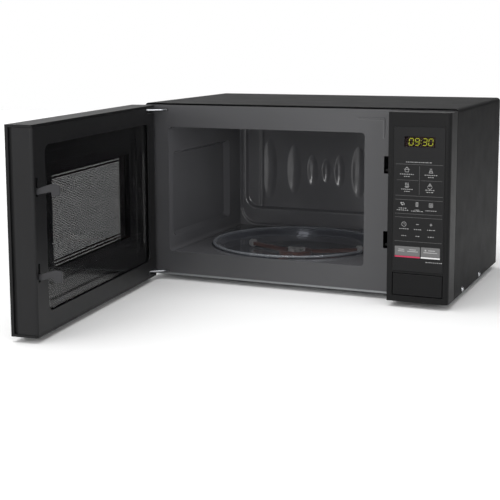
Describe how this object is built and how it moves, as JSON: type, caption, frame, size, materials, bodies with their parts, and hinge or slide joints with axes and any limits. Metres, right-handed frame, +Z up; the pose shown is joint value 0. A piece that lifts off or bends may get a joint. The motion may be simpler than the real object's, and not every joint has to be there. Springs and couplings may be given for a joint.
{
  "type": "microwave oven",
  "caption": "Countertop microwave oven with a left-hung door standing open, glass turntable on a roller ring, membrane keys and a push-to-open button.",
  "frame": {"origin": "under the middle of the bounding box with the door open as stored, at the level of the feet", "axes": "+Z up; +Y from the front to the back, so the oven faces -Y; +X to the right seen from the front, with the controls at +X and the door hinge at -X"},
  "size_m": [0.4726, 0.6592, 0.258],
  "materials": {
    "case_paint": "fine-textured black paint on steel",
    "rear_steel": "zinc-plated sheet",
    "base_steel": "zinc-plated sheet",
    "plate_paint": "semi-gloss dark grey paint",
    "foot_rubber": "moulded black rubber",
    "chrome_screw": "bright plated",
    "cavity_enamel": "smooth dark grey enamel",
    "back_enamel": "smooth dark grey enamel on pressed steel",
    "mica": "mica sheet",
    "motor_can": "plated can",
    "coupler_plastic": "natural acetal",
    "tray_glass": "clear tempered glass",
    "ring_plastic": "reddish brown heat-resistant plastic",
    "roller_plastic": "natural plastic",
    "panel_abs": "satin black moulding",
    "overlay_film": "printed polyester film",
    "display_lens": "dark tinted lens",
    "display_case": "black moulding",
    "board_green": "glass-fibre circuit board",
    "button_abs": "satin black moulding",
    "lever_plastic": "natural acetal",
    "latch_plastic": "natural moulding",
    "switch_case": "red phenolic",
    "hook_plastic": "dark grey acetal",
    "spring_steel": "drawn spring wire",
    "hinge_steel": "bright zinc plate",
    "door_abs": "satin black moulding",
    "outer_pane": "dark tinted pane",
    "cover_plastic": "satin dark grey moulding",
    "screen_steel": "black enamel on perforated steel",
    "inner_film": "glossy film with a black printed border",
    "waveguide_tin": "tin plate",
    "magnetron_tin": "tin plate and aluminium fins",
    "transformer_core": "varnished laminations and copper windings",
    "capacitor_can": "drawn can",
    "clamp_steel": "zinc-plated strap",
    "diode_epoxy": "moulded epoxy",
    "duct_plastic": "natural moulding",
    "fan_motor_steel": "laminated steel",
    "fan_plastic": "natural moulding",
    "socket_ceramic": "unglazed",
    "lamp_glass": "clear bulb",
    "cutout_body": "phenolic",
    "filter_board": "glass-fibre circuit board",
    "gland_rubber": "moulded black rubber"
  },
  "bodies": {
    "cabinet": {"base_plate": "base_steel", "capacitor": "capacitor_can", "capacitor_clamp": "clamp_steel", "cavity_back": "back_enamel", "cavity_lamp": "lamp_glass", "cavity_wrap": "cavity_enamel", "control_board": "board_green", "control_panel": "panel_abs", "cord_gland": "gland_rubber", "diode": "diode_epoxy", "display_module": "display_case", "display_window": "display_lens", "fan_duct": "duct_plastic", "fan_motor": "fan_motor_steel", "foot_front_left": "foot_rubber", "foot_front_right": "foot_rubber", "foot_rear_left": "foot_rubber", "foot_rear_right": "foot_rubber", "front_plate": "plate_paint", "key_membrane": "overlay_film", "lamp_socket": "socket_ceramic", "latch_board": "latch_plastic", "lower_hinge": "hinge_steel", "magnetron": "magnetron_tin", "monitor_switch": "switch_case", "noise_filter": "filter_board", "outer_case": "case_paint", "primary_switch": "switch_case", "rear_panel": "rear_steel", "rear_screw_low_left": "chrome_screw", "rear_screw_low_right": "chrome_screw", "rear_screw_top_left": "chrome_screw", "rear_screw_top_right": "chrome_screw", "secondary_switch": "switch_case", "side_screw_left_front": "chrome_screw", "side_screw_left_rear": "chrome_screw", "side_screw_right_front": "chrome_screw", "side_screw_right_rear": "chrome_screw", "thermal_cutout": "cutout_body", "transformer": "transformer_core", "turntable_motor": "motor_can", "upper_hinge": "hinge_steel", "waveguide": "waveguide_tin", "waveguide_cover": "mica"},
    "door": {"door_frame": "door_abs", "door_window": "outer_pane", "door_panel": "screen_steel", "choke_cover": "cover_plastic", "inner_window": "inner_film"},
    "latch": {"latch_lever": "hook_plastic", "latch_spring": "spring_steel"},
    "button": {"release_button": "button_abs"},
    "lever": {"release_lever": "lever_plastic"},
    "coupler": {"turntable_coupler": "coupler_plastic"},
    "tray": {"glass_tray": "tray_glass"},
    "ring": {"roller_ring": "ring_plastic"},
    "roller_one": {"roller_1": "roller_plastic"},
    "roller_two": {"roller_2": "roller_plastic"},
    "roller_three": {"roller_3": "roller_plastic"},
    "fan": {"fan_blade": "fan_plastic"}
  },
  "joints": [
    {"name": "door_hinge", "type": "hinge", "parent": "cabinet", "child": "door", "pos_m": [-0.21377, 0.0357, 0.133], "axis": [0, 0, 1], "range_deg": [-21, 84]},
    {"name": "latch_slide", "type": "slide", "parent": "door", "child": "latch", "axis": [0, 0, 1], "range_m": [0, 0.005], "stiffness_N_per_m": 400, "springref_m": -0.006, "deforming": ["latch_spring"]},
    {"name": "button_press", "type": "slide", "parent": "cabinet", "child": "button", "axis": [0, 1, 0], "range_m": [0, 0.006], "stiffness_N_per_m": 400, "springref_m": -0.004},
    {"name": "lever_swing", "type": "hinge", "parent": "cabinet", "child": "lever", "pos_m": [0.14223, 0.0557, 0.056], "axis": [1, 0, 0], "range_deg": [0, 17.5]},
    {"name": "coupler_spin", "type": "hinge", "parent": "cabinet", "child": "coupler", "pos_m": [-0.03677, 0.1777, 0.0236], "axis": [0, 0, 1], "continuous": true},
    {"name": "tray_lift", "type": "slide", "parent": "coupler", "child": "tray", "axis": [0, 0, 1], "range_m": [0, 0.03]},
    {"name": "ring_spin", "type": "hinge", "parent": "cabinet", "child": "ring", "pos_m": [-0.03677, 0.1777, 0.0298], "axis": [0, 0, 1], "continuous": true},
    {"name": "roller_one_spin", "type": "hinge", "parent": "ring", "child": "roller_one", "pos_m": [0.04626, 0.23162, 0.0298], "axis": [0.8387, 0.5446, 0], "continuous": true},
    {"name": "roller_two_spin", "type": "hinge", "parent": "ring", "child": "roller_two", "pos_m": [-0.12498, 0.22265, 0.0298], "axis": [-0.891, 0.454, 0], "continuous": true},
    {"name": "roller_three_spin", "type": "hinge", "parent": "ring", "child": "roller_three", "pos_m": [-0.03159, 0.07884, 0.0298], "axis": [0.0523, -0.9986, 0], "continuous": true},
    {"name": "fan_spin", "type": "hinge", "parent": "cabinet", "child": "fan", "pos_m": [0.16738, 0.2755, 0.148], "axis": [0, 1, 0], "continuous": true}
  ],
  "couplings": [
    {"joint": "lever_swing", "follows": "button_press", "rad_per_m": 50},
    {"joint": "latch_slide", "follows": "button_press", "ratio": 0.8325},
    {"joint": "ring_spin", "follows": "coupler_spin", "ratio": 0.5},
    {"joint": "roller_one_spin", "follows": "coupler_spin", "ratio": -8.3898},
    {"joint": "roller_two_spin", "follows": "coupler_spin", "ratio": -8.3898},
    {"joint": "roller_three_spin", "follows": "coupler_spin", "ratio": -8.3898}
  ]
}
